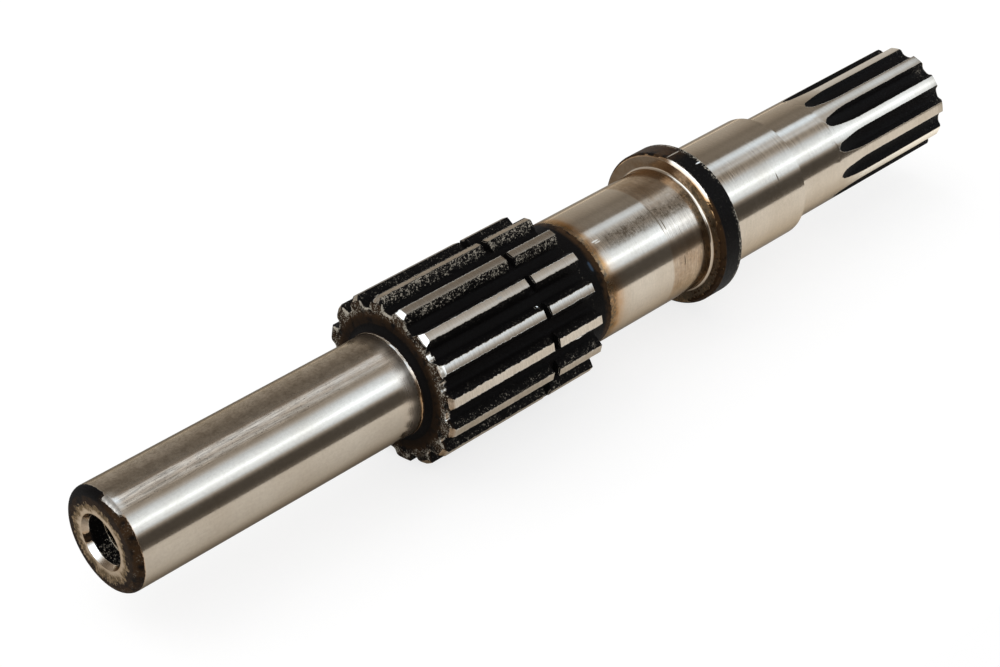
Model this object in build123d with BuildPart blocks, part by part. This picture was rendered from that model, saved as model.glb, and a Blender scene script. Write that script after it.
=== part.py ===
from build123d import *
from math import acos, asin, cos, degrees, hypot, radians, sin, tan
import os

# Clutch shaft: one turned, toothed and ground piece. Millimetres, +Z up.
# The shaft lies level along X, with its plain end at -X and its splined tail at +X. The origin is
# under its middle, on the surface that two teeth of the drum stand on.

# Lengths along the shaft, from the plain end to the splined end
front_length = 112.0
drum_length = 67.0
middle_length = 61.0
collar_width = 9.5
rear_length = 40.5
tail_length = 83.5

# Diameters of the turned outline. The collar stands on the bearing diameter.
front_diameter = 35.0
bearing_diameter = 45.0
tail_diameter = 40.0
drum_tip_diameter = 58.5
collar_height = 5.5

# Teeth of the drum, with a groove across them for a retaining ring
drum_teeth = 16
drum_module = 3.5
drum_tooth_height = 4.05
drum_land = 3.1
drum_root_fillet = 1.3
drum_front_bevel = 1.7
drum_edge_break = 0.4
ring_groove_start = 45.0
ring_groove_width = 2.8
ring_groove_depth = 3.25

# Splines of the tail, whose slots end in the run-out of a round cutter
tail_splines = 12
tail_module = 3.0
tail_slot_depth = 2.2
tail_floor_hollow = 0.5
tail_land = 3.9
tail_slot_length = 43.5
tail_run_out = 16.0

# Both sets of teeth have sides of involute form
pressure_angle = 30.0

# Rounds and bevels of the turned outline
front_end_round = 2.8
front_shoulder_fillet = 3.0
collar_fillet = 1.0
collar_front_bevel = 1.0
collar_back_bevel = 0.5
rear_step_bevel = 0.4
tail_end_bevel = 0.6

# Bore in the plain end: drilled hole, then a counterbore and a conical mouth, each a little wider
drilled_diameter = 14.0
drilled_depth = 32.0
counterbore_step = 1.1
counterbore_depth = 6.9
bore_mouth_bevel = 1.2

# Centre in the splined end, on which the shaft was turned and ground
tail_pilot_diameter = 5.0
tail_pilot_length = 4.0
tail_centre_flare = 2.8

centre_angle = 60.0
drill_point_angle = 118.0

# How far the cutters reach past the metal that they remove
overrun = 1.0

# Circles whose centres are nearer to each other than this share one axis
same_axis = 0.001

# A round takes no more than this share of the wall that it ends on
fillet_share = 0.8

# Distances from the plain end
drum_start = front_length
drum_end = drum_start + drum_length
collar_start = drum_end + middle_length
collar_end = collar_start + collar_width
rear_end = collar_end + rear_length
shaft_length = rear_end + tail_length
groove_start = drum_start + ring_groove_start
groove_end = groove_start + ring_groove_width
slot_start = shaft_length - tail_slot_length

# Radii
front_radius = front_diameter / 2
bearing_radius = bearing_diameter / 2
collar_radius = bearing_radius + collar_height
tail_radius = tail_diameter / 2
tail_root_radius = tail_radius - tail_slot_depth
drum_radius = drum_tip_diameter / 2
drum_root_radius = drum_radius - drum_tooth_height
groove_radius = drum_radius - ring_groove_depth

# Angles about the shaft's axis, from +Y towards +Z. A gap of the drum points straight down, and
# a slot of the tail stands a few degrees from it.
drum_gap_angle = -90.0
tail_slot_angle = -87.2

# The shaft lies on the drum's lands, on either side of the gap that points down
drum_gap_half_angle = 180 / drum_teeth - degrees(asin(drum_land / drum_tip_diameter))
axis_height = drum_radius * cos(radians(drum_gap_half_angle))


def place(distance, radius=0.0):
    """Point of the turned outline in the XZ plane, from its distance from the plain end."""
    return (distance - shaft_length / 2, axis_height + radius)


def cross_section(distance):
    """Plane across the shaft at a distance from the plain end, with local Y pointing up."""
    x, z = place(distance)
    return Plane(origin=(x, 0, z), x_dir=(0, 1, 0), z_dir=(1, 0, 0))


def corner_at(sketch, distance, radius):
    """Corner of the turned outline nearest to a place."""
    return sketch.vertices().sort_by_distance(Vector(*place(distance, radius)))[0]


def fitted(radius, wall):
    """Radius of a round, limited by the wall that it ends on."""
    return min(radius, fillet_share * wall)


def is_turned(edge):
    """Whether an edge is an arc about the shaft's axis."""
    if edge.geom_type != GeomType.CIRCLE:
        return False
    centre = edge.arc_center
    return hypot(centre.Y, centre.Z - axis_height) < same_axis


def involute(base_radius, radius):
    """Involute of the pressure angle at a radius. Inside the base circle a side is radial."""
    angle = acos(min(1.0, base_radius / radius))
    return tan(angle) - angle


def gap_between_teeth(count, module, tip_radius, root_radius, land, root_fillet=0, floor_hollow=0):
    """Gap centred on local X, from its floor to just past the tips of the teeth.

    The floor is straight, with rounded corners, or it is one hollow arc.
    """
    base_radius = module * count / 2 * cos(radians(pressure_angle))

    def side(radius):
        spread = involute(base_radius, tip_radius) - involute(base_radius, radius)
        angle = radians(180 / count) - asin(land / 2 / tip_radius) - spread
        return Vector(radius * cos(angle), radius * sin(angle))

    foot = side(root_radius + floor_hollow)
    middle = side((root_radius + tip_radius) / 2)
    tip = side(tip_radius)
    mouth = tip + (tip - middle).normalized() * overrun
    with BuildSketch() as gap:
        with BuildLine():
            ThreePointArc(foot, middle, tip)
            Line(tip, mouth)
            mirror(about=Plane.XZ)
            if floor_hollow:
                ThreePointArc(foot, (root_radius, 0), (foot.X, -foot.Y))
            else:
                Line(foot, (foot.X, -foot.Y))
            Line(mouth, (mouth.X, -mouth.Y))
        make_face()
        if root_fillet:
            fillet(gap.vertices().group_by(Axis.X)[0], fitted(root_fillet, foot.Y))
    return gap.sketch


os.makedirs("parts", exist_ok=True)

# Turned blank, from the plain end to the splined end
with BuildPart() as blank:
    with BuildSketch(Plane.XZ) as outline:
        with BuildLine():
            Polyline(
                place(0),
                place(0, front_radius),
                place(drum_start, front_radius),
                place(drum_start, drum_radius),
                place(groove_start, drum_radius),
                place(groove_start, groove_radius),
                place(groove_end, groove_radius),
                place(groove_end, drum_radius),
                place(drum_end, drum_radius),
                place(drum_end, bearing_radius),
                place(collar_start, bearing_radius),
                place(collar_start, collar_radius),
                place(collar_end, collar_radius),
                place(collar_end, bearing_radius),
                place(rear_end, bearing_radius),
                place(rear_end, tail_radius),
                place(shaft_length, tail_radius),
                place(shaft_length),
                close=True,
            )
        make_face()
        fillet(corner_at(outline, 0, front_radius), front_end_round)
        front_shoulder = drum_radius - front_radius - drum_front_bevel
        fillet(corner_at(outline, drum_start, front_radius), fitted(front_shoulder_fillet, front_shoulder))
        chamfer(corner_at(outline, drum_start, drum_radius), drum_front_bevel)
        fillet(corner_at(outline, collar_start, bearing_radius), collar_fillet)
        chamfer(corner_at(outline, collar_start, collar_radius), collar_front_bevel)
        chamfer(corner_at(outline, collar_end, collar_radius), collar_back_bevel)
        chamfer(corner_at(outline, rear_end, bearing_radius), rear_step_bevel)
        chamfer(corner_at(outline, shaft_length, tail_radius), tail_end_bevel)
    revolve(axis=Axis((0, 0, axis_height), (1, 0, 0)))

# Cutter that makes one gap of the drum, cut through from face to face
with BuildPart() as drum_gap:
    with BuildSketch():
        add(gap_between_teeth(
            drum_teeth,
            drum_module,
            drum_radius,
            drum_root_radius,
            drum_land,
            root_fillet=drum_root_fillet,
        ))
    extrude(amount=drum_length + 2 * overrun)

# Cutter that makes one slot of the tail: straight to the end, then out on the cutter's radius
cutter_radius = (tail_run_out**2 + tail_slot_depth**2) / (2 * tail_slot_depth)
cutter_axis = Axis((tail_root_radius + cutter_radius, 0, 0), (0, -1, 0))
with BuildPart() as tail_slot:
    with BuildSketch() as slot_outline:
        add(gap_between_teeth(
            tail_splines,
            tail_module,
            tail_radius,
            tail_root_radius,
            tail_land,
            floor_hollow=tail_floor_hollow,
        ))
    extrude(amount=tail_slot_length + overrun)
    with BuildSketch():
        add(slot_outline.sketch)
    revolve(axis=cutter_axis, revolution_arc=degrees(asin(tail_run_out / cutter_radius)) + overrun)

# Hollows turned into the two ends
half_centre = tan(radians(centre_angle / 2))
half_point = tan(radians(drill_point_angle / 2))
drilled_radius = drilled_diameter / 2
counterbore_radius = drilled_radius + counterbore_step
bore_mouth_depth = bore_mouth_bevel / half_centre
drill_point_depth = drilled_depth + drilled_radius / half_point
tail_pilot_radius = tail_pilot_diameter / 2
tail_pilot_start = shaft_length - tail_centre_flare / half_centre
tail_pilot_end = tail_pilot_start - tail_pilot_length
with BuildPart() as end_hollows:
    with BuildSketch(Plane.XZ):
        with BuildLine():
            Polyline(
                place(0),
                place(0, counterbore_radius + bore_mouth_bevel),
                place(bore_mouth_depth, counterbore_radius),
                place(counterbore_depth, counterbore_radius),
                place(counterbore_depth, drilled_radius),
                place(drilled_depth, drilled_radius),
                place(drill_point_depth),
                close=True,
            )
        make_face()
        with BuildLine():
            Polyline(
                place(shaft_length),
                place(shaft_length, tail_pilot_radius + tail_centre_flare),
                place(tail_pilot_start, tail_pilot_radius),
                place(tail_pilot_end, tail_pilot_radius),
                place(tail_pilot_end - tail_pilot_radius / half_point),
                close=True,
            )
        make_face()
    revolve(axis=Axis((0, 0, axis_height), (1, 0, 0)))

with BuildPart() as clutch_shaft:
    add(blank.part)
    with Locations(cross_section(drum_start - overrun)):
        with PolarLocations(0, drum_teeth, start_angle=drum_gap_angle):
            add(drum_gap.part, mode=Mode.SUBTRACT)
    with Locations(cross_section(slot_start)):
        with PolarLocations(0, tail_splines, start_angle=tail_slot_angle):
            add(tail_slot.part, mode=Mode.SUBTRACT)
    add(end_hollows.part, mode=Mode.SUBTRACT)
    flat_faces = clutch_shaft.faces().filter_by(Plane.YZ)
    drum_face = flat_faces.sort_by_distance(cross_section(drum_start).origin)[0]
    chamfer(drum_face.edges().filter_by(is_turned, reverse=True), drum_edge_break)

clutch_shaft.part.label = "clutch_shaft"
export_step(clutch_shaft.part, "parts/clutch_shaft.step")
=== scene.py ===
from math import acos, asin, cos, pi, radians, sin, sqrt, tan

import bpy
import numpy as np
from mathutils import Matrix, Vector


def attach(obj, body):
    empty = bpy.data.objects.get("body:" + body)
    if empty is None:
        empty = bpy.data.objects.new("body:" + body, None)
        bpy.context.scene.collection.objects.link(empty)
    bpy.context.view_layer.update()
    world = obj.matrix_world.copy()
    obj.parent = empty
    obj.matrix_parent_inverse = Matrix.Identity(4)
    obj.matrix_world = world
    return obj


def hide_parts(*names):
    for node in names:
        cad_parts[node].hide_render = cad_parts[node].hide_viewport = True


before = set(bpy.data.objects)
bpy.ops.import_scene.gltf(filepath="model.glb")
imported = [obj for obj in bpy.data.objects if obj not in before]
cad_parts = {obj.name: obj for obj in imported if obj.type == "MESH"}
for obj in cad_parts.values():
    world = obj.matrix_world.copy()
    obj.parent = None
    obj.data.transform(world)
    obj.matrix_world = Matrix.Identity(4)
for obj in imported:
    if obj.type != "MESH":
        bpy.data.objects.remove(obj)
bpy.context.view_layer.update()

# Clutch shaft of ground and scaled steel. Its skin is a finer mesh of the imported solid, in the same
# frame: +X along the shaft and +Z up. Lengths of the shaft are in mm here, until the mesh is made.

MM = 0.001
AXIS_HEIGHT = 28.950053

# Distances from the plain end
COUNTERBORE_DEPTH = 6.9
DRILLED_DEPTH = 32.0
DRILL_POINT = 36.2
DRUM_START = 112.0
GROOVE_START = 157.0
GROOVE_END = 159.8
DRUM_END = 179.0
COLLAR_START = 240.0
COLLAR_END = 249.5
REAR_END = 290.0
SLOT_START = 314.0
SLOT_FULL = 330.0
CENTRE_POINT = 363.15
PILOT_END = 364.65
PILOT_START = 368.65
SHAFT_LENGTH = 373.5

# Radii
DRILLED_RADIUS = 7.0
COUNTERBORE_RADIUS = 8.1
MOUTH_RADIUS = 9.3
FRONT_RADIUS = 17.5
DRUM_TIP = 29.25
DRUM_ROOT = 25.2
GROOVE_RADIUS = 26.0
BEARING_RADIUS = 22.5
COLLAR_RADIUS = 28.0
TAIL_RADIUS = 20.0
CENTRE_RADIUS = 5.3
PILOT_RADIUS = 2.5

# The first and last ring end just short of the axis
POLE_RADIUS = 0.02

# Rounds and bevels
END_ROUND = 2.8
SHOULDER_FILLET = 3.0
DRUM_BEVEL = 1.7
EDGE_BREAK = 0.4
COLLAR_FILLET = 1.0
COLLAR_FRONT_BEVEL = 1.0
COLLAR_BACK_BEVEL = 0.5
STEP_BEVEL = 0.4
TAIL_BEVEL = 0.6

# Teeth of the drum. The round at the foot of a side rises by a share of its width.
DRUM_TEETH = 16
DRUM_MODULE = 3.5
DRUM_LAND = 3.1
DRUM_FILLET = 1.1
FILLET_RISE = 0.75
DRUM_GAP_ANGLE = -90.0

# Splines of the tail. The hollow floor of a slot rises a little from its middle to its foot.
TAIL_SPLINES = 12
TAIL_MODULE = 3.0
TAIL_LAND = 3.9
TAIL_SLOT_ANGLE = -87.2
SLOT_DEPTH = 2.2
FLOOR_HOLLOW = 0.5
TAIL_ROOT = TAIL_RADIUS - SLOT_DEPTH
TAIL_FOOT = TAIL_ROOT + FLOOR_HOLLOW
CUTTER_RADIUS = ((SLOT_FULL - SLOT_START) ** 2 + SLOT_DEPTH ** 2) / (2 * SLOT_DEPTH)

PRESSURE_ANGLE = radians(30)

# Columns of the skin, all the way round, and those from the middle of a gap to its lip
COLUMNS = 384
LIP_COLUMN = 10

# A point on a lip counts as this far off the land
LIP_MARGIN = 0.02

# Distance onto a land, for parts that have no gaps
FAR_FROM_GAPS = 9.0

# Angle about the axis, from +Y towards +Z, that faces the camera
FACING_ANGLE = 136.1


# Outline of teeth and slots

def involute(base_radius, radius):
    angle = acos(min(1.0, base_radius / radius))
    return tan(angle) - angle


def side_point(count, module, tip_radius, land, radius):
    """Point of a gap's side at a radius, with the middle of the gap along local X."""
    base_radius = module * count / 2 * cos(PRESSURE_ANGLE)
    spread = involute(base_radius, tip_radius) - involute(base_radius, radius)
    angle = pi / count - asin(land / 2 / tip_radius) - spread
    return Vector((radius * cos(angle), radius * sin(angle)))


def drum_side(radius):
    return side_point(DRUM_TEETH, DRUM_MODULE, DRUM_TIP, DRUM_LAND, radius)


def tail_side(radius):
    return side_point(TAIL_SPLINES, TAIL_MODULE, TAIL_RADIUS, TAIL_LAND, radius)


def with_land(points, limit, half_pitch, steps):
    """Half of a gap and half of a land beside it, as (radius, angle, mm onto the land)."""
    radii = [point.length for point in points]
    angles = [np.arctan2(point.y, point.x) for point in points]
    inside = [radius - limit - LIP_MARGIN for radius in radii]
    edge = angles[-1]
    for step in range(1, steps + 1):
        angles.append(edge + (half_pitch - edge) * step / steps)
        radii.append(limit)
        inside.append((angles[-1] - edge) * limit)
    return np.array(radii), np.degrees(angles), np.array(inside)


def drum_half_gap(limit):
    """Half of a drum gap and half of a tooth, up to a radius."""
    foot = drum_side(DRUM_ROOT)
    floor_end = Vector((foot.x, foot.y - DRUM_FILLET))
    side_start = drum_side(DRUM_ROOT + DRUM_FILLET * FILLET_RISE)
    points = [Vector((foot.x, 0)), Vector((foot.x, floor_end.y / 2)), floor_end]
    for share in (1 / 3, 2 / 3):
        points.append(floor_end.lerp(foot, share).lerp(foot.lerp(side_start, share), share))
    start = side_start.length
    points += [drum_side(start + (limit - start) * step / 5) for step in range(6)]
    return with_land(points, limit, pi / DRUM_TEETH, 2)


def slot_point(share, rise):
    """Point of a slot's half outline: 0 is the middle of its floor, 1 its foot and 2 its lip."""
    foot = tail_side(TAIL_FOOT)
    if share <= 1:
        point = Vector((TAIL_ROOT + (foot.x - TAIL_ROOT) * share ** 2, foot.y * share))
    else:
        point = tail_side(TAIL_FOOT + (TAIL_RADIUS - TAIL_FOOT) * (share - 1))
    return point + Vector((rise, 0))


def share_at(limit, rise):
    """How far up a slot's half outline it reaches a radius, by halving."""
    low, high = 0.0, 2.0
    for step in range(30):
        middle = (low + high) / 2
        if slot_point(middle, rise).length < limit:
            low = middle
        else:
            high = middle
    return high


def tail_half_slot(limit, rise=0.0):
    """Half of a tail slot and half of a land, with the slot raised by the cutter's run-out."""
    top = share_at(limit, rise)
    # The floor and the side get half of the columns each, until the side runs out
    even = min(1.0, max(0.0, (rise - 0.6) / 0.8))
    shares = []
    for step in range(11):
        spread = top * step / 10
        if top > 1:
            cornered = step / 5 if step <= 5 else 1 + (top - 1) * (step - 5) / 5
            spread = cornered * (1 - even) + spread * even
        shares.append(spread)
    points = [slot_point(share, rise) for share in shares]
    return with_land(points, limit, pi / TAIL_SPLINES, 6)


def all_round(half, count, first_angle):
    """Mirrors half a gap and repeats it all the way round."""
    radii, angles, inside = half
    last = len(radii) - 1
    fold = np.array([step if step <= last else 2 * last - step for step in range(2 * last)])
    sign = np.array([1 if step <= last else -1 for step in range(2 * last)])
    pitch = 360 / count
    turned = []
    for tooth in range(count):
        # The columns past the middle of a land belong to the next gap
        next_gap = np.where(sign < 0, pitch, 0)
        turned.append(first_angle + tooth * pitch + next_gap + sign * angles[fold])
    return np.tile(radii[fold], count), np.concatenate(turned), np.tile(inside[fold], count)


def lips_of(count):
    """The columns that run along both lips of each gap."""
    columns_each = COLUMNS // count
    step = np.arange(COLUMNS) % columns_each
    return (step == LIP_COLUMN) | (step == columns_each - LIP_COLUMN)


# Rings of the skin

EVEN_ANGLES = DRUM_GAP_ANGLE + np.arange(COLUMNS) * 360 / COLUMNS
DRUM_ANGLES = all_round(drum_half_gap(DRUM_TIP), DRUM_TEETH, DRUM_GAP_ANGLE)[1]
TAIL_ANGLES = all_round(tail_half_slot(TAIL_RADIUS), TAIL_SPLINES, TAIL_SLOT_ANGLE)[1]

rings = []


def eased(first, second, share):
    """Angles of the columns on their way from one set to another."""
    share = min(1.0, share)
    return first * (1 - share) + second * share


def add_ring(part, x, radius, angles=EVEN_ANGLES, inside=FAR_FROM_GAPS, sharp=False, lips=False):
    """One ring of the skin. Sharp rings and lips keep their edge when the skin is shaded smooth."""
    rings.append({
        "part": part,
        "x": np.full(COLUMNS, float(x)),
        "radius": np.broadcast_to(radius, COLUMNS).astype(float),
        "angle": np.array(angles, float),
        "inside": np.broadcast_to(inside, COLUMNS).astype(float),
        "sharp": np.broadcast_to(sharp, COLUMNS),
        "lips": np.broadcast_to(lips, COLUMNS),
    })


def add_cylinder(part, distances, radius):
    for x in distances:
        add_ring(part, x, radius)


def add_turned(part, corners, steps, angles=EVEN_ANGLES, sharp_ends=(False, False)):
    """Rings along a straight turned wall between two (distance, radius) corners."""
    (x0, r0), (x1, r1) = corners
    for step in range(steps + 1):
        share = step / steps
        sharp = (step == 0 and sharp_ends[0]) or (step == steps and sharp_ends[1])
        add_ring(part, x0 + (x1 - x0) * share, r0 + (r1 - r0) * share, angles, sharp=sharp)


def add_arc(part, centre, radius, start, end, steps):
    """Rings along a round of the outline, between two directions in degrees from +X towards out."""
    for step in range(1, steps):
        turn = radians(start + (end - start) * step / steps)
        add_ring(part, centre[0] + radius * cos(turn), centre[1] + radius * sin(turn))


def drum_ring(part, x, limit, sharp=False):
    radii, angles, inside = all_round(drum_half_gap(limit), DRUM_TEETH, DRUM_GAP_ANGLE)
    add_ring(part, x, radii, angles, inside, sharp, lips_of(DRUM_TEETH))


def tail_ring(part, x, limit, sharp=False):
    run = max(0.0, SLOT_FULL - x)
    rise = CUTTER_RADIUS - sqrt(CUTTER_RADIUS ** 2 - run ** 2)
    half = tail_half_slot(limit, rise)
    radii, angles, inside = all_round(half, TAIL_SPLINES, TAIL_SLOT_ANGLE)
    add_ring(part, x, radii, angles, inside, sharp, lips_of(TAIL_SPLINES))


def lay_bore_and_end():
    """From the drill's point out through the bore, over the end face and round the rim."""
    add_ring("bore", DRILL_POINT, POLE_RADIUS)
    floor = ((DRILLED_DEPTH - 0.1, DRILLED_RADIUS - 0.1), (DRILLED_DEPTH, DRILLED_RADIUS))
    add_turned("bore", floor, 1, sharp_ends=(False, True))
    drilled = ((24, DRILLED_RADIUS), (COUNTERBORE_DEPTH, DRILLED_RADIUS))
    add_turned("bore", drilled, 5, sharp_ends=(False, True))
    counterbore = ((COUNTERBORE_DEPTH, COUNTERBORE_RADIUS), (2.08, COUNTERBORE_RADIUS))
    add_turned("bore", counterbore, 5, sharp_ends=(True, True))
    add_turned("mouth", ((1.6, 8.38), (0.4, 9.07)), 2)
    add_ring("mouth", 0, MOUTH_RADIUS, sharp=True)
    round_start = FRONT_RADIUS - END_ROUND
    add_turned("end", ((0, MOUTH_RADIUS + 0.4), (0, round_start)), 8)
    add_arc("rim", (END_ROUND, round_start), END_ROUND, 180, 90, 9)


def lay_front_journal():
    distances = (
        END_ROUND, 3.6, 5, 7, 10, 15, 20, 26, 32, 38, 44, 50, 56, 62, 68, 74, 80, 86, 91, 95, 98,
        100, 102, 104, 105.5, 107, 108, DRUM_START - SHOULDER_FILLET,
    )
    add_cylinder("journal", distances, FRONT_RADIUS)
    centre = (DRUM_START - SHOULDER_FILLET, FRONT_RADIUS + SHOULDER_FILLET)
    add_arc("shoulder", centre, SHOULDER_FILLET, -90, 0, 8)


def lay_drum_front():
    """The drum's front face, where the columns take up the pattern of the teeth, and its bevel."""
    shoulder_end = FRONT_RADIUS + SHOULDER_FILLET
    add_ring("front", DRUM_START, shoulder_end, eased(EVEN_ANGLES, DRUM_ANGLES, 0.6))
    for radius in (21.3, 22.1, 22.9, 23.7, 24.5):
        add_ring("front", DRUM_START, radius, DRUM_ANGLES)
    bevel_foot = DRUM_TIP - DRUM_BEVEL
    drum_ring("front", DRUM_START, bevel_foot - EDGE_BREAK, sharp=True)
    drum_ring("bevel", DRUM_START + EDGE_BREAK, bevel_foot + EDGE_BREAK, sharp=True)
    middle = (EDGE_BREAK + DRUM_BEVEL) / 2
    drum_ring("bevel", DRUM_START + middle, bevel_foot + middle)


def lay_drum():
    drum_ring("drum", DRUM_START + DRUM_BEVEL, DRUM_TIP, sharp=True)
    for x in np.linspace(115, 156, 20):
        drum_ring("drum", x, DRUM_TIP)
    drum_ring("drum", GROOVE_START, DRUM_TIP, sharp=True)
    groove_wall = 27.6
    drum_ring("groove", GROOVE_START, groove_wall)
    drum_ring("groove", GROOVE_START, GROOVE_RADIUS, sharp=True)
    drum_ring("groove", (GROOVE_START + GROOVE_END) / 2, GROOVE_RADIUS)
    drum_ring("groove", GROOVE_END, GROOVE_RADIUS, sharp=True)
    drum_ring("groove", GROOVE_END, groove_wall)
    drum_ring("drum", GROOVE_END, DRUM_TIP, sharp=True)
    for x in np.linspace(161, 178, 9):
        drum_ring("drum", x, DRUM_TIP)
    drum_ring("drum", DRUM_END, DRUM_TIP, sharp=True)
    for radius in (24.5, 23.5):
        add_ring("back", DRUM_END, radius, DRUM_ANGLES)
    add_ring("back", DRUM_END, BEARING_RADIUS, DRUM_ANGLES, sharp=True)


def lay_middle():
    """The columns leave the pattern of the teeth over 8 mm. Rings lie closer where the looks change."""
    for x in (179.7, 180.5, 181.5, 183, 185, 187, 188.5, 190, 191, 192, 194, 197, 200):
        angles = eased(DRUM_ANGLES, EVEN_ANGLES, (x - DRUM_END) / 8)
        add_ring("middle", x, BEARING_RADIUS, angles)
    fillet_start = COLLAR_START - COLLAR_FILLET
    add_cylinder("middle", (203, 206, 209, 212, 215, 218, 220.5, 221.5, 223, 225, 227), BEARING_RADIUS)
    add_cylinder("middle", (229, 231, 233, 235, 236.5, 238, fillet_start), BEARING_RADIUS)


def lay_collar():
    fillet_end = BEARING_RADIUS + COLLAR_FILLET
    add_arc("collar_fillet", (COLLAR_START - COLLAR_FILLET, fillet_end), COLLAR_FILLET, -90, 0, 5)
    bevel_foot = COLLAR_RADIUS - COLLAR_FRONT_BEVEL
    face = ((COLLAR_START, fillet_end), (COLLAR_START, bevel_foot))
    add_turned("collar_front", face, 5, sharp_ends=(False, True))
    bevel_end = COLLAR_START + COLLAR_FRONT_BEVEL
    bevel = ((COLLAR_START + 0.4, bevel_foot + 0.4), (bevel_end, COLLAR_RADIUS))
    add_turned("collar_bevel", bevel, 2, sharp_ends=(False, True))
    add_turned("collar", ((bevel_end + 0.6, COLLAR_RADIUS), (248.5, COLLAR_RADIUS)), 12)
    add_ring("collar", COLLAR_END - COLLAR_BACK_BEVEL, COLLAR_RADIUS, sharp=True)
    back = ((COLLAR_END, COLLAR_RADIUS - COLLAR_BACK_BEVEL), (COLLAR_END, BEARING_RADIUS))
    add_turned("collar_back", back, 4, sharp_ends=(True, True))


def lay_rear_journal():
    distances = (
        250, 251, 253, 255, 257, 259, 261, 264, 267, 270, 273, 275, 277, 279, 282, 285, 288, 289.2,
    )
    add_cylinder("rear", distances, BEARING_RADIUS)
    add_ring("rear", REAR_END - STEP_BEVEL, BEARING_RADIUS, sharp=True)
    step = ((REAR_END, BEARING_RADIUS - STEP_BEVEL), (REAR_END, TAIL_RADIUS))
    add_turned("step", step, 3, sharp_ends=(True, True))


def lay_tail():
    """The columns take up the pattern of the slots, whose rings lie closest where they run out."""
    for x in (290.5, 291.5, 293, 295.5, 298, 301, 304, 307, 310, 312.5):
        add_ring("tail", x, TAIL_RADIUS, eased(EVEN_ANGLES, TAIL_ANGLES, (x - REAR_END) / 14))
    for x in (314.03, 314.2, 314.5, 314.9, 315.4, 316, 316.7, 317.5, 318.4, 319.4, 320.5, 321.7):
        tail_ring("slots", x, TAIL_RADIUS)
    for x in (323, 324.5, 326, 328, SLOT_FULL):
        tail_ring("slots", x, TAIL_RADIUS)
    bevel_start = SHAFT_LENGTH - TAIL_BEVEL
    for x in np.linspace(333, bevel_start, 11):
        tail_ring("slots", x, TAIL_RADIUS, sharp=x == bevel_start)


def lay_tail_end():
    tail_ring("tail_face", SHAFT_LENGTH, TAIL_RADIUS - TAIL_BEVEL, sharp=True)
    for radius in (17.2, 14.5, 11.5, 8.5):
        add_ring("tail_face", SHAFT_LENGTH, radius, TAIL_ANGLES)
    flare = ((SHAFT_LENGTH, CENTRE_RADIUS), (PILOT_START, PILOT_RADIUS))
    add_turned("tail_centre", flare, 3, TAIL_ANGLES, sharp_ends=(True, True))
    add_ring("tail_centre", PILOT_END, PILOT_RADIUS, TAIL_ANGLES, sharp=True)
    add_ring("tail_centre", CENTRE_POINT, POLE_RADIUS, TAIL_ANGLES)


def gathered(name):
    return np.array([ring[name] for ring in rings])


def build_skin():
    """Makes one closed mesh of all the rings, with its sharp edges marked."""
    x, radius, angle = gathered("x"), gathered("radius"), np.radians(gathered("angle"))
    points = np.stack([
        (x - SHAFT_LENGTH / 2) * MM,
        radius * np.cos(angle) * MM,
        (radius * np.sin(angle) + AXIS_HEIGHT) * MM,
    ], axis=-1).reshape(-1, 3)
    near, far = len(points), len(points) + 1
    poles = [points[:COLUMNS].mean(axis=0), points[-COLUMNS:].mean(axis=0)]
    here = np.arange(COLUMNS)
    after = (here + 1) % COLUMNS
    quads = []
    for row in range(len(rings) - 1):
        low, high = row * COLUMNS, (row + 1) * COLUMNS
        quads.append(np.stack([low + here, low + after, high + after, high + here], axis=-1))
    last = (len(rings) - 1) * COLUMNS
    caps = [(near, int(b), int(a)) for a, b in zip(here, after)]
    caps += [(far, int(last + a), int(last + b)) for a, b in zip(here, after)]
    mesh = bpy.data.meshes.new("clutch_shaft_skin")
    mesh.from_pydata(np.vstack([points, poles]).tolist(), [], np.vstack(quads).tolist() + caps)
    mesh.shade_smooth()
    mark_sharp_edges(mesh)
    return mesh


def mark_sharp_edges(mesh):
    """Marks the edges round each sharp ring, and the edges along the shaft that join two lips."""
    ends = np.zeros(len(mesh.edges) * 2, int)
    mesh.edges.foreach_get("vertices", ends)
    ends = np.sort(ends.reshape(-1, 2), axis=1)
    row, column = ends // COLUMNS, ends % COLUMNS
    # The two poles come after the last ring
    real = row[:, 1] < len(rings)
    row = np.minimum(row, len(rings) - 1)
    sharp, lips = gathered("sharp"), gathered("lips")
    along_ring = real & (row[:, 0] == row[:, 1])
    along_shaft = real & (row[:, 1] == row[:, 0] + 1) & (column[:, 0] == column[:, 1])
    both_lips = lips[row[:, 0], column[:, 0]] & lips[row[:, 1], column[:, 1]]
    marked = (along_ring & sharp[row[:, 0], column[:, 0]]) | (along_shaft & both_lips)
    flag = mesh.attributes.new("sharp_edge", "BOOLEAN", "EDGE")
    flag.data.foreach_set("value", marked)


# Where the surface is ground, scaled or heat-tinted

# Layers of the skin, most of them 0 to 1. Patches are light specks on the scale, and bare steel where
# they are strongest; in places they carry a painted highlight. Browning comes from heat, and in places it
# tints a painted reflection. Gloss is the scale's: above 0.5 it paints a blue glint on the scale, and below
# 0 it dulls the ground steel. Staining and painted shade darken the steel in one layer. Brush is the
# strength of the grinding marks.
LAYERS = ("scale", "patches", "browning", "gloss", "stain_and_shade", "brush")

# Layers that are even all over a part, as (layer, parts, value)
EVEN_LAYERS = (
    ("scale", "bore front groove back", 1.0),
    ("scale", "collar_back tail_face tail_centre", 0.12),
    ("stain_and_shade", "collar_back tail_face tail_centre", 0.35),
    ("stain_and_shade", "mouth", 0.3),
    ("browning", "collar_fillet", 0.15),
    ("gloss", "back", 0.1),
    ("gloss", "collar", 0.2),
    ("brush", "drum bevel", 0.5),
    ("brush", "slots", 0.25),
)


def ramp(value, start, end):
    """0 up to start, 1 from end, and smooth between."""
    share = np.clip((value - start) / (end - start), 0, 1)
    return share * share * (3 - 2 * share)


def between(value, start, end, soft):
    """1 between start and end, and 0 outside, with soft edges."""
    return ramp(value, start - soft, start + soft) * (1 - ramp(value, end - soft, end + soft))


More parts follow.
